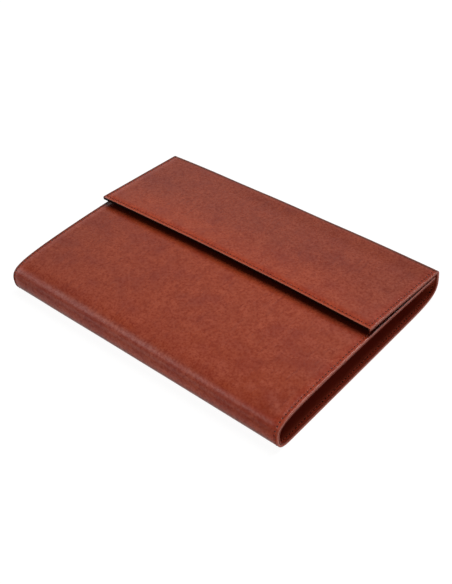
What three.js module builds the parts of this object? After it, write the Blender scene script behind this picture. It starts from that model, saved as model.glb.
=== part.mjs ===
// Leather document case: one leather cover rolled round a flat hollow, with a lining sewn inside it.
// X runs along the rolled front edge, Y from that edge back to the fold, Z up from the flat base.
// Lengths are in millimetres.

import * as THREE from 'three';

// Overall size
const caseLength = 330;
const caseDepth = 233;

// Leather
const coverThickness = 2.2;
const liningThickness = 1.4;
const glueLine = 0.3;

// Heights of the cover's outer face at the open ends
const panelHeight = 31.9;
const noseHeight = 14.5;
const foldHeight = 30.8;
const flapEdgeHeight = 39.9;
const heelHeight = 20;

// Depths of the parts of the section
const crownSetback = 73;
const toeReach = 16;
const heelReach = 53;
const flapDepth = 107.5;

// Inner radius of the fold at the back, and room round the front panel's tucked edge
const creaseRadius = 0.8;
const tuckClearance = 3;
const flapClearance = 0.6;

// The case is a little fuller half way along than at its open ends
const middleRise = 0.07;

// Steps in each bend of the section, and along the length
const bendSteps = 9;
const lengthSteps = 8;

// Handles of each bend, as shares of the run and the rise between its two ends
const bends = {
  tuck: { leaveRun: 0.31, leaveRise: 0.54, arriveRun: 0.36, arriveRise: 0 },
  nose: { leaveRun: 0.86, leaveRise: 0, arriveRun: 0, arriveRise: 0.89 },
  toe: { leaveRun: 0, leaveRise: 0.66, arriveRun: 0.8, arriveRise: 0 },
  heel: { leaveRun: 0.79, leaveRise: 0, arriveRun: 0, arriveRise: 0.87 },
};

const wall = coverThickness + glueLine + liningThickness;

// How much higher than at the open ends the section stands at a place along the length
function fullness(x) {
  const share = x / (caseLength / 2);
  return 1 + middleRise * (1 - share * share);
}

// The fold's centre, and the place where the straight flap leaves it
function foldGeometry(full) {
  const radius = wall + creaseRadius;
  const centre = new THREE.Vector2(caseDepth / 2 - radius, foldHeight * full - radius);
  const flapEdge = new THREE.Vector2(caseDepth / 2 - flapDepth, flapEdgeHeight * full);
  const toEdge = flapEdge.clone().sub(centre);
  const leaveAngle = toEdge.angle() - Math.acos(radius / toEdge.length());
  return { radius, centre, flapEdge, leaveAngle };
}

// Height of the flap's underside over a place in the depth
function flapUnderside(y, fold) {
  const outward = new THREE.Vector2(Math.cos(fold.leaveAngle), Math.sin(fold.leaveAngle));
  const reach = fold.radius - wall;
  return fold.centre.y + (reach - (y - fold.centre.x) * outward.x) / outward.y;
}

function addBend(path, to, bend) {
  const from = path.currentPoint;
  const run = to.x - from.x;
  const rise = to.y - from.y;
  path.bezierCurveTo(
    from.x + run * bend.leaveRun,
    from.y + rise * bend.leaveRise,
    to.x - run * bend.arriveRun,
    to.y - rise * bend.arriveRise,
    to.x,
    to.y,
  );
}

// The cover's outer face in one section, from the front panel's tucked edge, round the front,
// along the base, up the back and over the fold to the flap's front edge
function outerFace(full) {
  const front = -caseDepth / 2;
  const back = caseDepth / 2;
  const fold = foldGeometry(full);
  const tuckedY = back - wall - tuckClearance;
  const tuckedZ = flapUnderside(tuckedY, fold) - flapClearance;
  const path = new THREE.Path();
  path.moveTo(tuckedY, tuckedZ);
  addBend(path, new THREE.Vector2(front + crownSetback, panelHeight * full), bends.tuck);
  addBend(path, new THREE.Vector2(front, noseHeight * full), bends.nose);
  addBend(path, new THREE.Vector2(front + toeReach, 0), bends.toe);
  path.lineTo(back - heelReach, 0);
  addBend(path, new THREE.Vector2(back, heelHeight * full), bends.heel);
  path.lineTo(back, fold.centre.y);
  path.absarc(fold.centre.x, fold.centre.y, fold.radius, 0, fold.leaveAngle, false);
  path.lineTo(fold.flapEdge.x, fold.flapEdge.y);
  return path.getPoints(bendSteps);
}

// The same face moved square to itself towards the inside of the roll
function movedInward(points, distance) {
  return points.map((point, i) => {
    const before = point.clone().sub(points[Math.max(i - 1, 0)]).normalize();
    const after = points[Math.min(i + 1, points.length - 1)].clone().sub(point).normalize();
    const along = before.clone().add(after).normalize();
    const straightness = Math.max(along.dot(before), along.dot(after));
    const step = distance / straightness;
    return new THREE.Vector2(point.x - along.y * step, point.y + along.x * step);
  });
}

// A sheet that runs the whole length between two depths below the cover's outer face
function sheetGeometry(outerDepth, innerDepth) {
  const positions = [];
  let count = 0;
  for (let k = 0; k <= lengthSteps; k += 1) {
    const x = caseLength * (k / lengthSteps - 0.5);
    const face = outerFace(fullness(x));
    count = face.length;
    for (const depth of [outerDepth, innerDepth]) {
      for (const point of movedInward(face, depth)) {
        positions.push(x, point.x, point.y);
      }
    }
  }
  const index = [];
  // Two triangles between four corners named clockwise as seen from outside
  const addQuad = (a, b, c, d) => index.push(a, c, b, a, d, c);
  const outer = (k, i) => k * 2 * count + i;
  const inner = (k, i) => outer(k, i) + count;
  for (let k = 0; k < lengthSteps; k += 1) {
    for (let i = 0; i < count - 1; i += 1) {
      addQuad(outer(k, i), outer(k + 1, i), outer(k + 1, i + 1), outer(k, i + 1));
      addQuad(inner(k, i), inner(k, i + 1), inner(k + 1, i + 1), inner(k + 1, i));
    }
    addQuad(outer(k, 0), inner(k, 0), inner(k + 1, 0), outer(k + 1, 0));
    addQuad(outer(k, count - 1), outer(k + 1, count - 1), inner(k + 1, count - 1), inner(k, count - 1));
  }
  for (let i = 0; i < count - 1; i += 1) {
    addQuad(outer(0, i), outer(0, i + 1), inner(0, i + 1), inner(0, i));
    addQuad(
      outer(lengthSteps, i),
      inner(lengthSteps, i),
      inner(lengthSteps, i + 1),
      outer(lengthSteps, i + 1),
    );
  }
  const geometry = new THREE.BufferGeometry();
  geometry.setAttribute('position', new THREE.Float32BufferAttribute(positions, 3));
  geometry.setIndex(index);
  geometry.computeVertexNormals();
  return geometry;
}

const coverLeather = new THREE.MeshStandardMaterial({ color: 0x8f3f2d, roughness: 0.5, metalness: 0 });
const liningLeather = new THREE.MeshStandardMaterial({ color: 0x5a2015, roughness: 0.8, metalness: 0 });

function makeOuterCover() {
  const cover = new THREE.Mesh(sheetGeometry(0, coverThickness), coverLeather);
  cover.name = 'outer_cover';
  return cover;
}

function makeLining() {
  const lining = new THREE.Mesh(sheetGeometry(coverThickness + glueLine, wall), liningLeather);
  lining.name = 'lining';
  return lining;
}

const documentCase = new THREE.Group();
documentCase.name = 'document_case';
documentCase.add(makeOuterCover(), makeLining());

export default documentCase;
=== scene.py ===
import math

import bpy
import numpy as np
from mathutils import Matrix, Vector


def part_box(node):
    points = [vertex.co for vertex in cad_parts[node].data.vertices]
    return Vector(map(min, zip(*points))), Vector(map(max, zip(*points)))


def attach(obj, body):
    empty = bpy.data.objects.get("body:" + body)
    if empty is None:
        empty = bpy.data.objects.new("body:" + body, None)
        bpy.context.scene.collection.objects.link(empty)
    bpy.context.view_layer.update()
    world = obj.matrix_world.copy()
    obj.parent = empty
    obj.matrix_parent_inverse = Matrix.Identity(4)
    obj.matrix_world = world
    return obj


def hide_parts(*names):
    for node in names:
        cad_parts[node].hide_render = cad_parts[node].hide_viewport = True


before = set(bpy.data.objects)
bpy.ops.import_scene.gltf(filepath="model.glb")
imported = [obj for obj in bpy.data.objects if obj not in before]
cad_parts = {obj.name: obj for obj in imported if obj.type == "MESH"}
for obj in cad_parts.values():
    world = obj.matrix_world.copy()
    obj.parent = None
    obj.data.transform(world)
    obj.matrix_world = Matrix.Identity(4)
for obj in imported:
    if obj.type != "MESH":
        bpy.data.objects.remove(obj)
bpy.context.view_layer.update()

# Lengths are in metres and colours are linear. X runs along the rolled front edge, Y from that edge
# back to the fold, Z up.
MM = 0.001

# Overall size, from the frame
COVER_LOW, COVER_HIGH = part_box("outer_cover")
LINING_LOW, LINING_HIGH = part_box("lining")
LENGTH = COVER_HIGH[0] - COVER_LOW[0]
DEPTH = COVER_HIGH[1] - COVER_LOW[1]

# The two leathers: the cover's thickness and the glue line together reach the lining's lowest point
GLUE_LINE = 0.3 * MM
COVER_THICKNESS = LINING_LOW[2] - COVER_LOW[2] - GLUE_LINE
LINING_THICKNESS = 1.4 * MM
WALL = COVER_THICKNESS + GLUE_LINE + LINING_THICKNESS

# The section at the open ends, as in the frame's solids
MIDDLE_RISE = 0.07
FLAP_EDGE_HEIGHT = COVER_HIGH[2] / (1 + MIDDLE_RISE)
PANEL_HEIGHT = 31.9 * MM
NOSE_HEIGHT = 14.5 * MM
FOLD_HEIGHT = 30.8 * MM
HEEL_HEIGHT = 20 * MM
CROWN_SETBACK = 73 * MM
TOE_REACH = 16 * MM
HEEL_REACH = 53 * MM
FLAP_DEPTH = 107.5 * MM
CREASE_RADIUS = 0.8 * MM
TUCK_CLEARANCE = 3 * MM
FLAP_CLEARANCE = 0.6 * MM
BENDS = {
    "tuck": {"leave": (0.31, 0.54), "arrive": (0.36, 0)},
    "nose": {"leave": (0.86, 0), "arrive": (0, 0.89)},
    "toe": {"leave": (0, 0.66), "arrive": (0.8, 0)},
    "heel": {"leave": (0.79, 0), "arrive": (0, 0.87)},
}

# Steps in each stretch of the section, and in the short straight one up the rear wall
BEND_STEPS = 160
REAR_STEPS = 4

# The leather's unevenness: how much there is, the height over which it grows from nothing, and its
# waves, each with its share, its rates along X and Y and its start
SOFTNESS = 0.28 * MM
SOFT_HEIGHT = 12 * MM
WAVES = ((0.5, 23, 31, 1.3), (0.3, 51, -17, 4.1), (0.2, 67, 59, 2.2))

# Edges and stitching. The flap's front edge is rounder, and the blend to it lies at the fold.
FLAP_EDGE_RADIUS = 1.4 * MM
VISIBLE_EDGE_RADIUS = 0.4 * MM
LINING_EDGE_RADIUS = 0.7 * MM
HIDDEN_EDGE_RADIUS = 0.25 * MM
FLAP_BLEND = 20 * MM
STITCH_INSET = 3.0 * MM
STITCH_PITCH = 4.0 * MM
HOLE_RADIUS = 0.85 * MM
GROOVE_DEPTH = 0.06 * MM
GROOVE_WIDTH = 1.0 * MM

# How a face of a sheet ends at its cut edges
COVER_RIM = {"radius": VISIBLE_EDGE_RADIUS, "flap_radius": FLAP_EDGE_RADIUS, "stitched": True}
LINING_RIM = {"radius": LINING_EDGE_RADIUS, "flap_radius": LINING_EDGE_RADIUS, "stitched": True}
GLUED_RIM = {"radius": HIDDEN_EDGE_RADIUS, "flap_radius": HIDDEN_EDGE_RADIUS, "stitched": False}

# Stations of the sheets: steps over the rounding, places over the groove in groove widths, and the
# longest step along the length, along the section and in its turning
ROUNDING_STATIONS = 6
GROOVE_STATIONS = (-1.6, -1, -0.6, -0.25, 0, 0.25, 0.6, 1, 1.6, 2.6)
LENGTH_STEP = 7 * MM
FLAT_STEP = 5 * MM
TURN_STEP = math.radians(5)

# One stitch: its start and reach in shares of the pitch, how far it lies askew, and its thread.
# The thread's rise, sink, tip and swell are in radii, the arch is the power that squares its rise
# off, and the turns are those of its twist. No point of it comes nearer the floor than the last.
STITCH_RINGS = 9
STITCH_SIDES = 8
STITCH_START = 0.16
STITCH_REACH = 0.68
STITCH_SLANT = 0.16 * MM
THREAD_RADIUS = 0.33 * MM
THREAD_RISE = 1.75
THREAD_SINK = 1.15
THREAD_TIP = 0.72
THREAD_SWELL = 0.28
THREAD_ARCH = 0.6
THREAD_TURNS = 5.0
LEAST_HEIGHT = 0.02 * MM

# The camera, fitted to the photograph's outlines
CAMERA_PLACE = (0.5043, -0.4810, 0.6143)
CAMERA_AZIMUTH = math.radians(45.97)
CAMERA_ELEVATION = math.radians(41.36)
CAMERA_ROLL = math.radians(-6.77)
CAMERA_LENS_MM = 60.2
CAMERA_SENSOR_MM = 36
CAMERA_CLIP_START = 10 * MM

# The floor is a light table: its own glow, beside the light that it throws back
FLOOR_REACH = 6
FLOOR_GREY = 0.10
FLOOR_ROUGHNESS = 0.9
FLOOR_GLOW = 0.94

# The lamps, all aimed at the case: direction, distance, width, height and radiance
LAMPS = {
    "key": ((0.13, 0.44, 1), 1.6, 0.5, 1.45, 13.9),
    "front_left": ((-0.586, -0.52, 0.62), 1.4, 0.8, 0.55, 2.5),
    "back_left": ((-0.60, 0.56, 0.55), 1.8, 2.2, 1.4, 0.5),
    "right": ((0.90, -0.30, 0.20), 1.4, 0.7, 0.5, 2.4),
    "front_low": ((0.20, -1.0, 0.20), 1.5, 1.2, 0.5, 1.15),
}
LAMP_AIM = (0, 0, 0.02)
WORLD_STRENGTH = 0.03


# Section of the case

def fullness(x):
    """How much higher the section stands here than at the open ends."""
    share = x / (LENGTH / 2)
    return 1 + MIDDLE_RISE * (1 - share * share)


def bend_points(start, end, bend):
    start, end = np.array(start), np.array(end)
    leave = start + (end - start) * bend["leave"]
    arrive = end - (end - start) * bend["arrive"]
    t = np.linspace(0, 1, BEND_STEPS + 1)[:, None]
    return (start * (1 - t) ** 3 + leave * 3 * t * (1 - t) ** 2
            + arrive * 3 * t * t * (1 - t) + end * t ** 3)


def line_points(start, end, steps):
    t = np.linspace(0, 1, steps + 1)[:, None]
    return np.array(start) * (1 - t) + np.array(end) * t


def section_points(x):
    """The cover's outer face at one x, from the tucked edge to the flap's front edge."""
    full = fullness(x)
    front, back = -DEPTH / 2, DEPTH / 2
    radius = WALL + CREASE_RADIUS
    centre = np.array((back - radius, FOLD_HEIGHT * full - radius))
    flap_edge = np.array((back - FLAP_DEPTH, FLAP_EDGE_HEIGHT * full))
    to_edge = flap_edge - centre
    leave_angle = math.atan2(to_edge[1], to_edge[0]) - math.acos(radius / np.hypot(*to_edge))
    tucked_y = back - WALL - TUCK_CLEARANCE
    outward = (math.cos(leave_angle), math.sin(leave_angle))
    underside = centre[1] + (radius - WALL - (tucked_y - centre[0]) * outward[0]) / outward[1]
    tucked = (tucked_y, underside - FLAP_CLEARANCE)
    crown = (front + CROWN_SETBACK, PANEL_HEIGHT * full)
    nose = (front, NOSE_HEIGHT * full)
    toe = (front + TOE_REACH, 0)
    base_end = (back - HEEL_REACH, 0)
    heel = (back, HEEL_HEIGHT * full)
    angles = np.linspace(0, leave_angle, BEND_STEPS + 1)
    fold = centre + radius * np.stack([np.cos(angles), np.sin(angles)], axis=1)
    stretches = [
        bend_points(tucked, crown, BENDS["tuck"]),
        bend_points(crown, nose, BENDS["nose"]),
        bend_points(nose, toe, BENDS["toe"]),
        line_points(toe, base_end, BEND_STEPS),
        bend_points(base_end, heel, BENDS["heel"]),
        line_points(heel, fold[0], REAR_STEPS),
        fold,
        line_points(fold[-1], flap_edge, BEND_STEPS),
    ]
    return np.concatenate([stretches[0]] + [s[1:] for s in stretches[1:]])


class Section:
    """The outer face's curve at one x, read by share of its own length."""

    def __init__(self, x):
        self.points = section_points(x)
        steps = np.hypot(*np.diff(self.points, axis=0).T)
        self.reach = np.concatenate([[0], np.cumsum(steps)])
        self.total = self.reach[-1]
        along = np.gradient(self.points, self.reach, axis=0)
        self.along = along / np.hypot(*along.T)[:, None]

    def read(self, shares):
        """Points on the curve, and the directions square to it and away from the hollow."""
        reach = np.asarray(shares) * self.total
        point, along = (
            np.stack([np.interp(reach, self.reach, values[:, i]) for i in (0, 1)], axis=1)
            for values in (self.points, self.along)
        )
        along /= np.hypot(*along.T)[:, None]
        return point, np.stack([along[:, 1], -along[:, 0]], axis=1)


END_SECTION = Section(LENGTH / 2)
SHEET_RUN = END_SECTION.total

# The stitched lines: across the section and along the length
RUN_SEAM = SHEET_RUN - 2 * STITCH_INSET
LENGTH_SEAM = LENGTH - 2 * STITCH_INSET
RUN_STITCHES = round(RUN_SEAM / STITCH_PITCH)
LENGTH_STITCHES = round(LENGTH_SEAM / STITCH_PITCH)


def softness(x, point):
    """How far the leather's face stands out of its even shape, nil where it lies on the base."""
    y, z = point[:, 0], point[:, 1]
    wave = sum(share * np.sin(x_rate * x + y_rate * y + start)
               for share, x_rate, y_rate, start in WAVES)
    lifted = np.clip(z / SOFT_HEIGHT, 0, 1)
    return SOFTNESS * wave * lifted * lifted * (3 - 2 * lifted)


# Stations of the sheets

def edge_stations():
    """Distances from a cut edge, close together over its rounding and the stitched groove."""
    angles = np.linspace(0, math.pi / 2, ROUNDING_STATIONS)
    over_rounding = [FLAP_EDGE_RADIUS * (1 - math.cos(a)) for a in angles]
    over_groove = [STITCH_INSET + k * GROOVE_WIDTH for k in GROOVE_STATIONS]
    return np.array(over_rounding + over_groove)


def length_stations():
    """Places along the length, close together at both ends, with one in the middle."""
    edge = edge_stations()
    clear = LENGTH - 2 * edge[-1]
    steps = int(clear / LENGTH_STEP)
    steps += steps % 2
    middle = np.linspace(edge[-1], LENGTH - edge[-1], steps + 1)[1:-1]
    return np.concatenate([edge, middle, LENGTH - edge[::-1]]) - LENGTH / 2


def section_shares():
    """Places along the section, close together at its edges and where it bends."""
    edge = edge_stations()
    heading = np.arctan2(END_SECTION.along[:, 1], END_SECTION.along[:, 0])
    turn = np.abs(np.diff(np.unwrap(heading)))
    run = np.diff(END_SECTION.reach)
    cost = np.concatenate([[0], np.cumsum(np.maximum(run / FLAT_STEP, turn / TURN_STEP))])
    low = np.interp(edge[-1], END_SECTION.reach, cost)
    high = np.interp(SHEET_RUN - edge[-1], END_SECTION.reach, cost)
    count = int(math.ceil(high - low))
    middle = np.interp(np.linspace(low, high, count + 1)[1:-1], cost, END_SECTION.reach)
    return np.concatenate([edge, middle, SHEET_RUN - edge[::-1]]) / SHEET_RUN


def rounding(to_end, to_edge, end_radius, edge_radius):
    """How far a face falls away near the open ends and near the long edges."""
    def drop(distance, radius):
        inside = np.clip(radius - distance, 0, radius)
        return radius - np.sqrt(radius * radius - inside * inside)
    return np.maximum(drop(to_end, end_radius), drop(to_edge, edge_radius))


def groove(to_end, to_edge):
    """How far the stitches press a face in."""
    nearest = np.minimum(to_end, to_edge)
    return GROOVE_DEPTH * np.exp(-((nearest - STITCH_INSET) / GROOVE_WIDTH) ** 2)


# Building the sheets

def new_object(name, vertices, faces, material_slots):
    mesh = bpy.data.meshes.new(name)
    mesh.from_pydata(vertices, [], faces)
    mesh.validate()
    for material in material_slots:
        mesh.materials.append(material)
    piece = bpy.data.objects.new(name, mesh)
    bpy.context.scene.collection.objects.link(piece)
    return piece


def add_vector_attribute(piece, name, values):
    attribute = piece.data.attributes.new(name, "FLOAT_VECTOR", "POINT")
    attribute.data.foreach_set("vector", np.asarray(values, dtype=np.float32).ravel())


def shade_smooth(piece):
    polygons = piece.data.polygons
    polygons.foreach_set("use_smooth", np.ones(len(polygons), dtype=bool))


def sheet_points(xs, shares, depths, rims):
    """Points at every x of the outer face and then of the inner one. With each point go its
    distances from the end and from the long edge with its depth, and its place among the stitches
    of both seams with its run along the section."""
    count = len(shares)
    run = shares * SHEET_RUN
    to_edge = np.minimum(shares, 1 - shares) * SHEET_RUN
    on_flap = np.clip((run - SHEET_RUN + FLAP_DEPTH + FLAP_BLEND / 2) / FLAP_BLEND, 0, 1)
    run_phase = (run - STITCH_INSET) / RUN_SEAM * RUN_STITCHES
    points, distances, phases = [], [], []
    for x in xs:
        point, outward = Section(x).read(shares)
        to_end = np.full(count, LENGTH / 2 - abs(x))
        lift = softness(x, point)
        length_phase = (x + LENGTH / 2 - STITCH_INSET) / LENGTH_SEAM * LENGTH_STITCHES
        for depth, sign, rim in zip(depths, (1, -1), rims):
            edge_radius = rim["radius"] + on_flap * (rim["flap_radius"] - rim["radius"])
            fall = rounding(to_end, to_edge, rim["radius"], edge_radius)
            if rim["stitched"]:
                fall = fall + groove(to_end, to_edge)
            placed = point - outward * (depth + sign * fall - lift)[:, None]
            points.extend(zip(np.full(count, x), placed[:, 0], placed[:, 1]))
            distances.extend(zip(to_end, to_edge, np.full(count, depth)))
            phases.extend(zip(run_phase, np.full(count, length_phase), run))
    return points, distances, phases


def sheet_faces(x_count, count):
    """The quads of both faces, and those of the cut edges."""
    def outer(k, i):
        return k * 2 * count + i

    def inner(k, i):
        return outer(k, i) + count

    faces, edges = [], []
    last_x, last_i = x_count - 1, count - 1
    for k in range(last_x):
        for i in range(last_i):
            faces.append((outer(k, i), outer(k, i + 1), outer(k + 1, i + 1), outer(k + 1, i)))
            faces.append((inner(k, i), inner(k + 1, i), inner(k + 1, i + 1), inner(k, i + 1)))
    for k in range(last_x):
        edges.append((outer(k, 0), outer(k + 1, 0), inner(k + 1, 0), inner(k, 0)))
        edges.append((outer(k, last_i), inner(k, last_i),
                      inner(k + 1, last_i), outer(k + 1, last_i)))
    for i in range(last_i):
        edges.append((outer(0, i), inner(0, i), inner(0, i + 1), outer(0, i + 1)))
        edges.append((outer(last_x, i), outer(last_x, i + 1),
                      inner(last_x, i + 1), inner(last_x, i)))
    return faces, edges


def make_sheet(name, depths, rims, materials):
    """A closed sheet between two depths below the cover's outer face, the outer one first. Each
    face has its rim. The materials are the faces' and the cut edges'."""
    xs = length_stations()
    shares = section_shares()
    points, distances, phases = sheet_points(xs, shares, depths, rims)
    faces, edges = sheet_faces(len(xs), len(shares))
    piece = new_object(name, points, faces + edges, materials)
    add_vector_attribute(piece, "edge_distance", distances)
    add_vector_attribute(piece, "stitch_phase", phases)
    slots = np.array([0] * len(faces) + [1] * len(edges), dtype=np.int32)
    piece.data.polygons.foreach_set("material_index", slots)
    shade_smooth(piece)
    piece.data.update()
    return piece


# Stitches

def seams():
    """The four stitched lines, each as its places along the length and its shares of the run."""
    end = LENGTH / 2 - STITCH_INSET
    edge = STITCH_INSET / SHEET_RUN
    run_holes = np.linspace(STITCH_INSET, SHEET_RUN - STITCH_INSET, RUN_STITCHES + 1) / SHEET_RUN
    length_holes = np.linspace(-LENGTH / 2 + STITCH_INSET, end, LENGTH_STITCHES + 1)
    return (((-end,), run_holes), ((end,), run_holes),
            (length_holes, (edge,)), (length_holes, (1 - edge,)))


def seam_holes(xs, shares, depth):
    """Hole places and outward normals along one stitched line on the face at a depth."""
    places, normals = [], []
    for x in xs:
        point, outward = Section(x).read(shares)
        placed = point - outward * (depth - softness(x, point))[:, None]
        places.extend((x, *place) for place in placed)
        normals.extend((0, *normal) for normal in outward)
    return np.array(places), np.array(normals)


def stitch_vertices(start, end, normal):
    """One stitch: a short thread that rises out of one hole and dives into the next."""
    along = end - start
    span = np.linalg.norm(along)
    along = along / span
    across = np.cross(normal, along)
    across /= np.linalg.norm(across)
    up = np.cross(along, across)
    rings = []
    for a in np.linspace(0, 1, STITCH_RINGS):
        arch = math.sin(math.pi * a)
        height = THREAD_RADIUS * (THREAD_RISE * arch ** THREAD_ARCH - THREAD_SINK)
        radius = THREAD_RADIUS * (THREAD_TIP + THREAD_SWELL * arch)
        centre = (start + along * span * (STITCH_START + STITCH_REACH * a)
                  + across * STITCH_SLANT * (a - 0.5) + up * height)
        for angle in np.arange(STITCH_SIDES) / STITCH_SIDES * 2 * math.pi:
            point = centre + radius * (math.cos(angle) * across + math.sin(angle) * up)
            rings.append((point[0], point[1], max(point[2], LEAST_HEIGHT)))
    return rings


def stitch_faces(first):
    """The quads of one stitch whose vertices start at a number, and its two end caps."""
    faces = []
    for r in range(STITCH_RINGS - 1):
        for s in range(STITCH_SIDES):
            here = first + r * STITCH_SIDES
            after = here + STITCH_SIDES
            nxt = (s + 1) % STITCH_SIDES
            faces.append((here + s, here + nxt, after + nxt, after + s))
    faces.append(tuple(first + s for s in reversed(range(STITCH_SIDES))))
    last = first + (STITCH_RINGS - 1) * STITCH_SIDES
    faces.append(tuple(last + s for s in range(STITCH_SIDES)))
    return faces


def make_stitching(name, depth, facing, material):
    """All four stitched lines on one face: facing is 1 on the cover's outside, -1 on the lining."""
    thread_places = [(r / (STITCH_RINGS - 1), s / STITCH_SIDES, 0)
                     for r in range(STITCH_RINGS) for s in range(STITCH_SIDES)]
    vertices, faces, threads = [], [], []
    for xs, shares in seams():
        places, normals = seam_holes(xs, shares, depth + facing * GROOVE_DEPTH)
        for j in range(len(places) - 1):
            normal = facing * (normals[j] + normals[j + 1])
            normal /= np.linalg.norm(normal)
            faces.extend(stitch_faces(len(vertices)))
            vertices.extend(stitch_vertices(places[j], places[j + 1], normal))
            threads.extend(thread_places)
    piece = new_object(name, vertices, faces, [material])
    add_vector_attribute(piece, "thread_place", threads)
    shade_smooth(piece)
    return piece


# Materials

# Bands where a tone changes: the reading at which the change is nil, and the one where it is full
BANDS = {
    # Y, and X along the rolled front edge
    # Y over which the painted sheen on the rolled front edge grows
    "front": (-78 * MM, -100 * MM),
    # Y over which the rolled front edge's painted highlight, sheen and shade reach
    "nose": (-92 * MM, -102 * MM),
    # Y over which a painted shadow darkens the front panel under the flap's front edge
    "flap_shadow": (3 * MM, 12 * MM),
    # X over which painted shade darkens the front panel towards the left end
    "left": (0.4 * LENGTH, -0.6 * LENGTH),
    # Heights on the rolled front edge, for its painted highlight, painted sheen and painted shade
    "brow_from": (20.5 * MM, 23.5 * MM),
    "brow_to": (29 * MM, 27 * MM),
    "cheek": (23 * MM, 20.5 * MM),
    "foot": (13.5 * MM, 10.5 * MM),
    # Distance along the section from the flap's front edge, and X for the warm band before the fold
    # Bounds of the painted shade towards the fold
    "up_the_flap": (10 * MM, 60 * MM),
    "off_the_flap": (FLAP_DEPTH + 20 * MM, FLAP_DEPTH - 10 * MM),
    "warm_from": (FLAP_DEPTH - 30 * MM, FLAP_DEPTH - 14 * MM),
    "warm_to": (FLAP_DEPTH - 5 * MM, FLAP_DEPTH - 10 * MM),
    "warm_right": (-130 * MM, -20 * MM),
    # Reach of the painted shade along the fold's rim
    "fold_from": (FLAP_DEPTH - 6 * MM, FLAP_DEPTH - 4.6 * MM),
    "fold_to": (FLAP_DEPTH + 2 * MM, FLAP_DEPTH - 0.5 * MM),
    # Distance from the open ends, and from the left one alone
    "end_shade": (70 * MM, STITCH_INSET),
    # Reach of the pale rim with a painted highlight at the open ends
    "end_rim_highlight": (1.2 * MM, 0.2 * MM),
    # Reaches of the painted highlight on the left end's rim, with more gloss, and of the painted
    # shade at its very edge
    "left_rim_highlight": (12 * MM, 3 * MM),
    "left_rim_shade": (3.2 * MM, 1.9 * MM),
    # Reaches of the painted shade at the lining's open ends and on its rim
    "lining_end_shade": (3.8 * MM, 1.8 * MM),
    "lining_rim_shade": (1.0 * MM, 0.5 * MM),
    # Distance from the long edges, and from the nearest edge of all
    "long_dull": (12 * MM, STITCH_INSET),
    # Reach of the pale rim with a painted highlight along the long edges
    "long_rim_highlight": (1.6 * MM, 0.3 * MM),
    # Reaches of the painted shade along the long edges of the cover and the lining
    "long_edge_shade": (0.3 * MM, 0.1 * MM),
    "shade_on_lining_edges": (0.9 * MM, 0.6 * MM),
    "by_stitches": (12 * MM, STITCH_INSET),
    # Depth in a cut edge, and how much farther from the end than from the long edge it is, for the
    # painted shade on the cut edges
    "shaded_inner_rim": (3.4 * MM, 3.9 * MM),
    "shade_along_length": (0.5 * MM, 2.5 * MM),
}

# X over which the painted sheen on the rolled front edge grows from the right, and its levels there
FRONT_RIGHT = (160 * MM, 40 * MM, 0.3, 1)

# The share of the section's run that takes in the front panel
PANEL_SHARE = 0.45

# Colours, and the tint of the painted shade that darkens a sheet's outline
COVER = {
    "redder": (0.272, 0.0395, 0.0105),
    "browner": (0.251, 0.0385, 0.0120),
    "blotch": (0.200, 0.0240, 0.0095),
    "mottle": (0.300, 0.0470, 0.0145),
    "fine": (0.180, 0.0190, 0.0070),
    "streak": (0.160, 0.0180, 0.0070),
    # Paler burnished rims, lightened further as a painted highlight on their rounding
    "end_rim_highlight": (0.300, 0.0640, 0.0350),
    "long_rim_highlight": (0.390, 0.0980, 0.0560),
    # Stitch holes painted dark: painted shade in holes that the mesh only dents
    "hole": (0.042, 0.0045, 0.0025),
}
LINING = {
    "darker": (0.285, 0.0420, 0.0180),
    "lighter": (0.320, 0.0480, 0.0215),
    "nap": (0.220, 0.0305, 0.0125),
    # Stitch holes painted dark: painted shade in holes that the mesh only dents
    "hole": (0.015, 0.0020, 0.0010),
}
CUT_EDGE = {
    "light": (0.395, 0.0980, 0.0620),
    "dim": (0.325, 0.0765, 0.0475),
    "patch": (0.275, 0.0635, 0.0390),
    # Painted shade on the cut edges: the lining's inner rim, and the edges along the length
    "shaded_inner_rim": (0.090, 0.0080, 0.0030),
    "shade_along_length": (0.006, 0.0012, 0.0007),
}
# The thread's shaded and lit colours, for painted shade between its strands
THREAD_SHADED = (0.240, 0.0330, 0.0120)
THREAD_LIGHT = (0.310, 0.0480, 0.0190)
EDGE_SHADE_TINT = (0.06, 0.06, 0.06)


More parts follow.
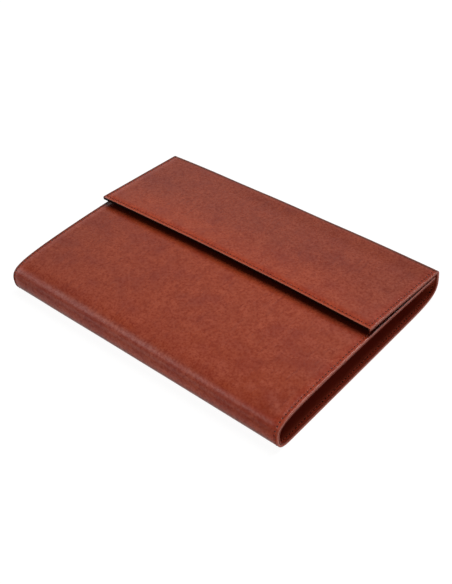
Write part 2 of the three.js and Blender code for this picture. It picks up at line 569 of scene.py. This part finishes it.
class Look:
    """A node material, with short calls for the nodes that it uses."""

    def __init__(self, name):
        self.material = bpy.data.materials.new(name)
        self.material.use_nodes = True
        self.nodes = self.material.node_tree.nodes
        self.links = self.material.node_tree.links
        self.shader = self.nodes["Principled BSDF"]

    def feed(self, socket, value):
        if isinstance(value, bpy.types.NodeSocket):
            self.links.new(value, socket)
        elif socket.type == "RGBA":
            socket.default_value = (*value, 1)
        else:
            socket.default_value = value

    def add(self, kind, output, inputs, **settings):
        """A new node with its settings and inputs, read at one of its outputs."""
        node = self.nodes.new("ShaderNode" + kind)
        for name, value in settings.items():
            setattr(node, name, value)
        for key, value in inputs.items():
            self.feed(node.inputs[key], value)
        return node.outputs[output]

    def parts(self, vector):
        node = self.nodes.new("ShaderNodeSeparateXYZ")
        self.links.new(vector, node.inputs[0])
        return node.outputs["X"], node.outputs["Y"], node.outputs["Z"]

    def object_place(self):
        return self.add("TexCoord", "Object", {})

    def object_parts(self):
        return self.parts(self.object_place())

    def attribute(self, name):
        return self.parts(self.add("Attribute", "Vector", {}, attribute_name=name))

    def stretched(self, place, scale, turn):
        """The place, turned by an angle about Z and scaled along each axis."""
        inputs = {"Vector": place, "Scale": scale, "Rotation": (0, 0, turn)}
        return self.add("Mapping", "Vector", inputs)

    def noise(self, place, scale, detail, rough, distortion=0.0):
        inputs = {"Vector": place, "Scale": scale, "Detail": detail, "Roughness": rough,
                  "Distortion": distortion}
        return self.add("TexNoise", "Fac", inputs)

    def cells(self, place, scale):
        return self.add("TexVoronoi", "Distance", {"Vector": place, "Scale": scale}, feature="F1")

    def math(self, operation, a, b=0.0):
        return self.add("Math", 0, {0: a, 1: b}, operation=operation)

    def times(self, a, b):
        return self.math("MULTIPLY", a, b)

    def spread(self, value, low, high, to_low=0.0, to_high=1.0):
        """A smooth step from one level to the other while the value goes from low to high."""
        inputs = {"Value": value, "From Min": low, "From Max": high, "To Min": to_low,
                  "To Max": to_high}
        return self.add("MapRange", "Result", inputs, interpolation_type="SMOOTHSTEP")

    def mix(self, share, a, b):
        return self.add("Mix", "Result", {"Factor": share, "A": a, "B": b}, data_type="RGBA")

    def tinted(self, colour, *tints):
        """The colour times each tint's factors in turn, as far as its share says."""
        for share, factors in tints:
            inputs = {"Factor": share, "A": colour, "B": factors}
            colour = self.add("Mix", "Result", inputs, data_type="RGBA", blend_type="MULTIPLY")
        return colour

    def bump(self, height, strength, distance, normal=None):
        inputs = {"Height": height, "Strength": strength, "Distance": distance}
        if normal is not None:
            inputs["Normal"] = normal
        return self.add("Bump", "Normal", inputs)

    def finish(self, colour, rough, gloss, normal=None):
        """The material, with these on the shader's own sockets."""
        sockets = self.shader.inputs
        self.feed(sockets["Base Color"], colour)
        self.feed(sockets["Roughness"], rough)
        self.feed(sockets["Specular IOR Level"], gloss)
        if normal is not None:
            self.feed(sockets["Normal"], normal)
        return self.material


class CaseLook(Look):
    """A look that reads where on the case it is. Its calls give shares, from 0 to 1."""

    def band(self, value, name):
        return self.spread(value, *BANDS[name])

    def between(self, value, rise, fall):
        return self.times(self.band(value, rise), self.band(value, fall))

    def near_end(self, name):
        return self.band(self.attribute("edge_distance")[0], name)

    def near_long_edge(self, name):
        return self.band(self.attribute("edge_distance")[1], name)

    def near_any_edge(self, name):
        to_end, to_edge = self.attribute("edge_distance")[:2]
        return self.band(self.math("MINIMUM", to_end, to_edge), name)

    def near_left_end(self, name):
        return self.band(self.math("ADD", self.object_parts()[0], LENGTH / 2), name)

    def from_flap_edge(self):
        """Not a share but a distance along the section, which grows towards the fold."""
        return self.math("SUBTRACT", SHEET_RUN, self.attribute("stitch_phase")[2])

    # Painted shade, tinted grey, along the fold's rim
    def fold_rim_shade(self):
        return self.between(self.from_flap_edge(), "fold_from", "fold_to")

    def before_fold(self):
        """A band across the flap just ahead of the fold, that fades out towards the left end."""
        band = self.between(self.from_flap_edge(), "warm_from", "warm_to")
        return self.times(band, self.band(self.object_parts()[0], "warm_right"))

    def shade_towards_fold(self):
        """Painted shade: the flap darkened from its front edge towards the fold. 0 at the flap's
        front edge and off the flap, 1 from half way up the flap to the fold.
        """
        return self.between(self.from_flap_edge(), "up_the_flap", "off_the_flap")

    def on_panel(self):
        return self.math("LESS_THAN", self.attribute("stitch_phase")[2], PANEL_SHARE * SHEET_RUN)

    # A painted shadow: the front panel darkened under the flap's front edge, where the flap shades
    # it
    def flap_shadow(self):
        return self.times(self.band(self.object_parts()[1], "flap_shadow"), self.on_panel())

    # Painted shade: the front panel darker towards the left end
    def shade_towards_left(self):
        return self.times(self.band(self.object_parts()[0], "left"), self.on_panel())

    def sheen_on_front(self):
        """A painted sheen here lightens the colour, and the leather is rougher: 1 over the rolled
        front edge and the rise behind it, less towards the right end.
        """
        x, y = self.object_parts()[:2]
        return self.times(self.band(y, "front"), self.spread(x, *FRONT_RIGHT))

    def nose_light_and_shade(self):
        """The three levels of the rolled front edge, lightened or darkened for how the light falls:
        a painted highlight on its brow, a painted sheen on its cheek and painted shade at its foot.
        """
        y, height = self.object_parts()[1:]
        nose = self.band(y, "nose")
        brow = self.between(height, "brow_from", "brow_to")
        return [self.times(nose, level)
                for level in (brow, self.band(height, "cheek"), self.band(height, "foot"))]

    def holes(self):
        """1 in the middle of each stitch hole, 0 away from them."""
        to_end, to_edge = self.attribute("edge_distance")[:2]
        run_phase, length_phase = self.attribute("stitch_phase")[:2]

        def line(distance, other, phase):
            shifted = self.math("FRACT", self.math("ADD", phase, 0.5))
            along = self.times(self.math("SUBTRACT", shifted, 0.5), STITCH_PITCH)
            across = self.math("SUBTRACT", distance, STITCH_INSET)
            squares = self.math("ADD", self.times(along, along), self.times(across, across))
            dot = self.spread(self.math("SQRT", squares), HOLE_RADIUS, 0.5 * HOLE_RADIUS)
            on_line = self.math("GREATER_THAN", other, STITCH_INSET - HOLE_RADIUS)
            return self.times(dot, on_line)

        return self.math("MAXIMUM", line(to_end, to_edge, run_phase),
                         line(to_edge, to_end, length_phase))

    def dented(self, holes, normal):
        return self.bump(self.times(holes, -1), strength=0.8, distance=0.5 * MM, normal=normal)


def cover_textures(look):
    place = look.object_place()
    blotch_place = look.stretched(place, scale=(30, 48, 40), turn=math.radians(35))
    streak_place = look.stretched(place, scale=(300, 45, 60), turn=math.radians(28))
    return {
        "broad": look.noise(place, scale=13, detail=2, rough=0.5),
        "blotch": look.noise(blotch_place, scale=1, detail=2, rough=0.45),
        "mottle": look.noise(place, scale=90, detail=2, rough=0.5),
        "streaks": look.noise(streak_place, scale=1, detail=4, rough=0.65, distortion=0.4),
        "wrinkles": look.noise(place, scale=260, detail=3, rough=0.6, distortion=0.5),
        "fine": look.noise(place, scale=520, detail=3, rough=0.65),
        "pores": look.cells(place, scale=1250),
    }


def cover_colour(look, textures, holes):
    """The leather's own colours first, then the tones of its parts, its rims and its holes."""
    def layer(colour, texture, low, high, most, shade):
        return look.mix(look.spread(textures[texture], low, high, 0, most), colour, COVER[shade])

    broad = look.spread(textures["broad"], 0.3, 0.7)
    colour = look.mix(broad, COVER["redder"], COVER["browner"])
    colour = layer(colour, "blotch", 0.38, 0.7, 0.7, "blotch")
    colour = layer(colour, "mottle", 0.36, 0.74, 0.6, "mottle")
    colour = layer(colour, "fine", 0.42, 0.7, 0.75, "fine")
    wrinkles = look.spread(textures["wrinkles"], 0.4, 0.62)
    colour = look.tinted(colour, (wrinkles, (0.90, 0.85, 0.85)))
    colour = layer(colour, "streaks", 0.52, 0.78, 0.7, "streak")
    brow, cheek, foot = look.nose_light_and_shade()
    colour = look.tinted(
        colour,
        # Painted shade towards the fold
        (look.shade_towards_fold(), (0.80, 0.80, 0.86)),
        (look.near_end("end_shade"), (0.95, 0.94, 0.93)),
        # Painted sheen on the rolled front edge and the rise behind it
        (look.sheen_on_front(), (1.05, 1.09, 1.25)),
        # Painted highlight on the nose's brow, painted sheen on its cheek and painted shade at its
        # foot
        (brow, (1.20, 1.42, 2.10)),
        (cheek, (1.10, 1.16, 1.45)),
        (foot, (0.66, 0.80, 0.90)),
        # Painted shade towards the left end
        (look.shade_towards_left(), (0.86, 0.86, 0.88)),
        (look.near_any_edge("by_stitches"), (1.08, 0.90, 0.75)),
    )
    # Pale rims at the ends and long edges: paler leather with a painted highlight on the rounding
    colour = look.mix(look.times(look.near_end("end_rim_highlight"), 0.6), colour, COVER["end_rim_highlight"])
    colour = look.mix(look.times(look.near_long_edge("long_rim_highlight"), 0.9), colour, COVER["long_rim_highlight"])
    colour = look.tinted(
        colour,
        (look.before_fold(), (0.88, 0.84, 0.74)),
        # Painted shade, tinted grey, along the fold's rim
        (look.fold_rim_shade(), (0.56, 1.0, 1.6)),
        # Painted highlight on the left end's rim and painted shade at its very edge
        (look.near_left_end("left_rim_highlight"), (1.10, 1.35, 1.80)),
        (look.near_left_end("left_rim_shade"), (0.50, 0.58, 0.60)),
        # Painted shadow under the flap's front edge
        (look.flap_shadow(), (0.35, 0.28, 0.28)),
        # Painted shade along the long edges
        (look.near_long_edge("long_edge_shade"), EDGE_SHADE_TINT),
    )
    # The stitch holes painted dark, as painted shade
    return look.mix(holes, colour, COVER["hole"])


def cover_gloss(look, textures):
    """More gloss on the upper faces, changed in some places and broken up by the grain."""
    gloss = look.spread(look.object_parts()[2], 20 * MM, 26 * MM, 0.05, 0.36)
    for share, factor in (
        (look.near_long_edge("long_dull"), 0.5),
        (look.fold_rim_shade(), 0.4),
        (look.before_fold(), 0.75),
        # More gloss under the left rim's painted highlight, less at its shaded edge
        (look.near_left_end("left_rim_highlight"), 2.1),
        (look.near_left_end("left_rim_shade"), 0.3),
    ):
        gloss = look.times(gloss, look.spread(share, 0, 1, 1, factor))
    gloss = look.times(gloss, look.spread(textures["fine"], 0.38, 0.66, 1.25, 0.70))
    return look.times(gloss, look.spread(textures["wrinkles"], 0.38, 0.64, 1.12, 0.88))


def cover_normal(look, textures, holes):
    """Fine grain and pores, long creases, soft mottling and the stitch holes."""
    grain = look.math("ADD", look.times(textures["fine"], 0.5), look.times(textures["pores"], 0.9))
    normal = look.bump(grain, strength=0.45, distance=0.055 * MM)
    creases = look.times(textures["streaks"], -1)
    normal = look.bump(creases, strength=0.3, distance=0.12 * MM, normal=normal)
    normal = look.bump(textures["mottle"], strength=0.25, distance=0.25 * MM, normal=normal)
    return look.dented(holes, normal)


def cover_look():
    look = CaseLook("cover_leather")
    textures = cover_textures(look)
    holes = look.holes()
    rough = look.math("ADD", look.spread(textures["mottle"], 0.3, 0.7, 0.22, 0.29),
                      look.times(look.sheen_on_front(), 0.10))
    return look.finish(cover_colour(look, textures, holes), rough, cover_gloss(look, textures),
                       cover_normal(look, textures, holes))


def lining_look():
    look = CaseLook("lining_leather")
    place = look.object_place()
    nap = look.noise(place, scale=900, detail=4, rough=0.7)
    patches = look.noise(place, scale=45, detail=3, rough=0.55)
    colour = look.mix(look.spread(patches, 0.3, 0.7), LINING["darker"], LINING["lighter"])
    colour = look.mix(look.spread(nap, 0.4, 0.75, 0, 0.5), colour, LINING["nap"])
    colour = look.tinted(
        colour,
        # Painted shade along the lining's long edges
        (look.near_long_edge("shade_on_lining_edges"), EDGE_SHADE_TINT),
        # Painted shade at the lining's open ends and on its rim
        (look.near_end("lining_end_shade"), (0.70, 0.50, 0.35)),
        (look.near_end("lining_rim_shade"), (0.55, 0.60, 0.60)),
    )
    holes = look.holes()
    # The stitch holes painted dark, as painted shade
    colour = look.mix(holes, colour, LINING["hole"])
    normal = look.bump(nap, strength=0.4, distance=0.12 * MM)
    return look.finish(colour, rough=0.75, gloss=0.08, normal=look.dented(holes, normal))


def cut_edge_look(name):
    """A cut edge: light at the open ends, with painted shade darkening the lining's inner rim and
    making the edge nearly black along the length."""
    look = CaseLook(name)
    place = look.object_place()
    fibres = look.noise(place, scale=700, detail=4, rough=0.7)
    patches = look.noise(place, scale=120, detail=2, rough=0.5)
    colour = look.mix(look.spread(fibres, 0.35, 0.7), CUT_EDGE["light"], CUT_EDGE["dim"])
    colour = look.mix(look.spread(patches, 0.4, 0.7, 0, 0.4), colour, CUT_EDGE["patch"])
    to_end, to_edge, depth = look.attribute("edge_distance")
    # Painted shade on the lining's inner rim and along the length
    shaded_inner_rim = look.band(depth, "shaded_inner_rim")
    colour = look.mix(shaded_inner_rim, colour, CUT_EDGE["shaded_inner_rim"])
    shade_along_length = look.band(look.math("SUBTRACT", to_end, to_edge), "shade_along_length")
    colour = look.mix(shade_along_length, colour, CUT_EDGE["shade_along_length"])
    gloss = look.spread(look.math("MAXIMUM", shade_along_length, shaded_inner_rim), 0, 1, 0.15, 0.0)
    normal = look.bump(fibres, strength=0.35, distance=0.1 * MM)
    return look.finish(colour, rough=0.5, gloss=gloss, normal=normal)


def thread_look():
    """A twisted thread, with painted shade between its strands."""
    look = Look("thread")
    along, around = look.attribute("thread_place")[:2]
    turns = look.math("ADD", look.times(along, THREAD_TURNS), around)
    twist = look.math("SINE", look.times(turns, 2 * math.pi))
    colour = look.mix(look.spread(twist, -0.6, 0.8), THREAD_SHADED, THREAD_LIGHT)
    normal = look.bump(twist, strength=0.5, distance=0.08 * MM)
    return look.finish(colour, rough=0.6, gloss=0.2, normal=normal)


# The case

def dress_case():
    thread = thread_look()
    cover = make_sheet(
        "cover_leather",
        (0, COVER_THICKNESS),
        (COVER_RIM, GLUED_RIM),
        [cover_look(), cut_edge_look("cover_edge")],
    )
    lining = make_sheet(
        "lining_leather",
        (COVER_THICKNESS + GLUE_LINE, WALL),
        (GLUED_RIM, LINING_RIM),
        [lining_look(), cut_edge_look("lining_edge")],
    )
    outer_stitches = make_stitching("outer_stitching", 0, 1, thread)
    inner_stitches = make_stitching("inner_stitching", WALL, -1, thread)
    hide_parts("outer_cover")
    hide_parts("lining")
    for piece in (cover, lining, outer_stitches, inner_stitches):
        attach(piece, "root")


# The surroundings

def make_floor():
    corners = [(-FLOOR_REACH, -FLOOR_REACH, 0), (FLOOR_REACH, -FLOOR_REACH, 0),
               (FLOOR_REACH, FLOOR_REACH, 0), (-FLOOR_REACH, FLOOR_REACH, 0)]
    look = Look("pale_floor")
    look.feed(look.shader.inputs["Emission Color"], (1, 1, 1))
    look.feed(look.shader.inputs["Emission Strength"], FLOOR_GLOW)
    material = look.finish((FLOOR_GREY,) * 3, FLOOR_ROUGHNESS, gloss=0.0)
    floor = new_object("floor", corners, [(0, 1, 2, 3)], [material])


def add_lamp(name, towards, distance, width, height, radiance):
    """A softbox in a direction from the case, as bright to look at as radiance says."""
    place = Vector(towards).normalized() * distance
    light = bpy.data.lights.new(name, "AREA")
    light.shape = "RECTANGLE"
    light.size = width
    light.size_y = height
    light.energy = radiance * math.pi * width * height
    lamp = bpy.data.objects.new(name, light)
    lamp.location = place
    lamp.rotation_euler = (Vector(LAMP_AIM) - place).to_track_quat("-Z", "Y").to_euler()
    bpy.context.scene.collection.objects.link(lamp)


def light_scene():
    for name, lamp in LAMPS.items():
        add_lamp(name, *lamp)
    world = bpy.data.worlds.new("studio")
    world.use_nodes = True
    background = world.node_tree.nodes["Background"]
    background.inputs["Color"].default_value = (1, 1, 1, 1)
    background.inputs["Strength"].default_value = WORLD_STRENGTH
    bpy.context.scene.world = world


def place_camera():
    back = Vector((math.sin(CAMERA_AZIMUTH) * math.cos(CAMERA_ELEVATION),
                   -math.cos(CAMERA_AZIMUTH) * math.cos(CAMERA_ELEVATION),
                   math.sin(CAMERA_ELEVATION)))
    level = Vector((math.cos(CAMERA_AZIMUTH), math.sin(CAMERA_AZIMUTH), 0))
    upright = back.cross(level)
    right = level * math.cos(CAMERA_ROLL) + upright * math.sin(CAMERA_ROLL)
    up = upright * math.cos(CAMERA_ROLL) - level * math.sin(CAMERA_ROLL)
    data = bpy.data.cameras.new("camera")
    data.sensor_width = CAMERA_SENSOR_MM
    data.lens = CAMERA_LENS_MM
    data.clip_start = CAMERA_CLIP_START
    camera = bpy.data.objects.new("camera", data)
    camera.matrix_world = Matrix((
        (right.x, up.x, back.x, CAMERA_PLACE[0]),
        (right.y, up.y, back.y, CAMERA_PLACE[1]),
        (right.z, up.z, back.z, CAMERA_PLACE[2]),
        (0, 0, 0, 1),
    ))
    bpy.context.scene.collection.objects.link(camera)
    bpy.context.scene.camera = camera


place_camera()
dress_case()
make_floor()
light_scene()
bpy.context.scene.view_settings.view_transform = "Standard"
